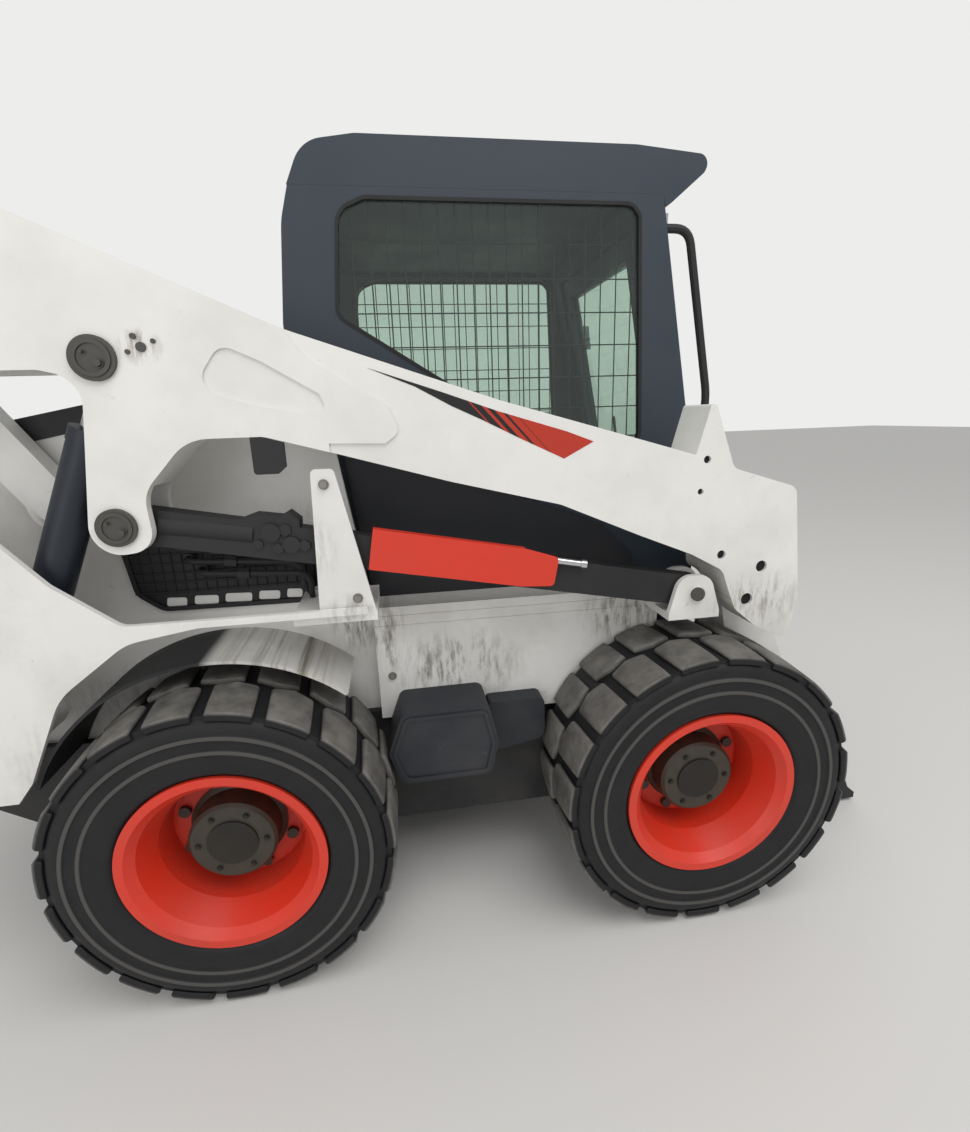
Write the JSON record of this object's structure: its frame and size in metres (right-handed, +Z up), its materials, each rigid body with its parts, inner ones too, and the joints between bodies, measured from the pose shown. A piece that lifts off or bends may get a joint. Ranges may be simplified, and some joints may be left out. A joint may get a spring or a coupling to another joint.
{
  "type": "skid steer loader",
  "caption": "Compact wheeled loader with enclosed cab, vertical-path lift arms, quick coupler, swinging door and tailgate, and free-turning wheels.",
  "frame": {"origin": "on the ground, at the middle of the overall length and width", "axes": "+X forward, +Y to the machine's left, +Z up"},
  "size_m": [2.9, 1.84, 2.125],
  "materials": {
    "black_paint": "satin",
    "black_plastic": "matt",
    "cab_paint": "satin",
    "chrome": "polished",
    "engine_iron": "painted",
    "hub_iron": "painted, dusty",
    "lamp_clear": "gloss",
    "lamp_red": "gloss",
    "red_paint": "semi-gloss",
    "seat_vinyl": "satin vinyl",
    "tinted_glass": "clear, tinted",
    "tyre_rubber": "matt, dusty",
    "white_paint": "semi-gloss, dusty"
  },
  "bodies": {
    "chassis": {"axle_tubes": "black_paint", "cab_floor": "cab_paint", "cab_front": "cab_paint", "cab_rear": "cab_paint", "cab_roof": "cab_paint", "cab_side_left": "cab_paint", "cab_side_right": "cab_paint", "control_consoles": "black_plastic", "engine_block": "engine_iron", "flank_covers": "black_plastic", "front_lamps": "lamp_clear", "handrails": "black_paint", "joysticks": "black_plastic", "link_ears": "white_paint", "main_frame": "black_paint", "rear_bumper": "black_paint", "rear_fenders": "white_paint", "rear_glass": "tinted_glass", "rear_hood": "black_paint", "seat_base": "engine_iron", "seat_cushions": "seat_vinyl", "side_boxes": "black_plastic", "side_glass": "tinted_glass", "side_grilles": "black_paint", "side_screens": "black_paint", "side_sills": "white_paint", "uprights": "white_paint", "wheel_arches": "black_paint"},
    "cab_door": {"door_frame": "cab_paint", "door_glass": "tinted_glass"},
    "tailgate": {"tailgate": "white_paint", "tailgate_grille": "black_paint", "tail_lamps": "lamp_red"},
    "control_links": {"control_links": "black_paint", "arm_support": "red_paint"},
    "lift_arm": {"lift_arms": "white_paint", "pin_caps": "black_paint", "arm_stops": "black_paint"},
    "rear_links": {"rear_links": "white_paint"},
    "lift_barrels": {"lift_barrels": "cab_paint"},
    "lift_rods": {"lift_rods": "chrome"},
    "tilt_barrels": {"tilt_barrels": "black_paint"},
    "tilt_rods": {"tilt_rods": "chrome"},
    "coupler": {"quick_coupler": "black_paint"},
    "wheel_front_left": {"tyre_front_left": "tyre_rubber", "rim_front_left": "red_paint", "hub_front_left": "hub_iron"},
    "wheel_front_right": {"tyre_front_right": "tyre_rubber", "rim_front_right": "red_paint", "hub_front_right": "hub_iron"},
    "wheel_rear_left": {"tyre_rear_left": "tyre_rubber", "rim_rear_left": "red_paint", "hub_rear_left": "hub_iron"},
    "wheel_rear_right": {"tyre_rear_right": "tyre_rubber", "rim_rear_right": "red_paint", "hub_rear_right": "hub_iron"}
  },
  "joints": [
    {"name": "lift", "type": "hinge", "parent": "chassis", "child": "control_links", "pos_m": [0.625, 0, 0.955], "axis": [0, 1, 0], "range_deg": [0, 30.1]},
    {"name": "lift_arm_turn", "type": "hinge", "parent": "control_links", "child": "lift_arm", "pos_m": [-0.77, 0, 1.23], "axis": [0, -1, 0], "range_deg": [-0.5, 98.48]},
    {"name": "rear_link_turn", "type": "hinge", "parent": "chassis", "child": "rear_links", "pos_m": [-0.977, 0, 1.264], "axis": [0, 1, 0], "range_deg": [-0.5, 41.35]},
    {"name": "lift_cylinder_turn", "type": "hinge", "parent": "chassis", "child": "lift_barrels", "pos_m": [-1.14, 0, 0.7], "axis": [0, -1, 0], "range_deg": [-0.3, 8.43]},
    {"name": "lift_rod_slide", "type": "slide", "parent": "lift_barrels", "child": "lift_rods", "axis": [0.4052, 0, 0.9142], "range_m": [-0.002, 0.4348]},
    {"name": "tilt", "type": "hinge", "parent": "lift_arm", "child": "coupler", "pos_m": [1.165, 0, 0.225], "axis": [0, 1, 0], "range_deg": [0, 100]},
    {"name": "tilt_cylinder_turn", "type": "hinge", "parent": "lift_arm", "child": "tilt_barrels", "pos_m": [0.885, 0, 1.01], "axis": [0, -1, 0], "range_deg": [-0.3, 1.06]},
    {"name": "tilt_rod_slide", "type": "slide", "parent": "tilt_barrels", "child": "tilt_rods", "axis": [0.4495, 0, -0.8933], "range_m": [-0.002, 0.262]},
    {"name": "cab_door_swing", "type": "hinge", "parent": "chassis", "child": "cab_door", "pos_m": [0.811, 0.346, 0.78], "axis": [-0.119, 0, 0.9929], "range_deg": [0, 85]},
    {"name": "tailgate_swing", "type": "hinge", "parent": "chassis", "child": "tailgate", "pos_m": [-1.425, 0.546, 0.6], "axis": [0, 0, -1], "range_deg": [0, 95]},
    {"name": "wheel_front_left_spin", "type": "hinge", "parent": "chassis", "child": "wheel_front_left", "pos_m": [0.635, 0, 0.416], "axis": [0, 1, 0], "continuous": true},
    {"name": "wheel_front_right_spin", "type": "hinge", "parent": "chassis", "child": "wheel_front_right", "pos_m": [0.635, 0, 0.416], "axis": [0, 1, 0], "continuous": true},
    {"name": "wheel_rear_left_spin", "type": "hinge", "parent": "chassis", "child": "wheel_rear_left", "pos_m": [-0.635, 0, 0.416], "axis": [0, 1, 0], "continuous": true},
    {"name": "wheel_rear_right_spin", "type": "hinge", "parent": "chassis", "child": "wheel_rear_right", "pos_m": [-0.635, 0, 0.416], "axis": [0, 1, 0], "continuous": true}
  ],
  "couplings": [
    {"joint": "lift_arm_turn", "follows": "lift", "ratio": 3.2552},
    {"joint": "rear_link_turn", "follows": "lift", "ratio": 1.3573},
    {"joint": "lift_cylinder_turn", "follows": "lift", "ratio": 0.27005},
    {"joint": "lift_rod_slide", "follows": "lift", "m_per_rad": 0.82389},
    {"joint": "tilt_cylinder_turn", "follows": "tilt", "ratio": 0.007572},
    {"joint": "tilt_rod_slide", "follows": "tilt", "m_per_rad": 0.14897}
  ]
}
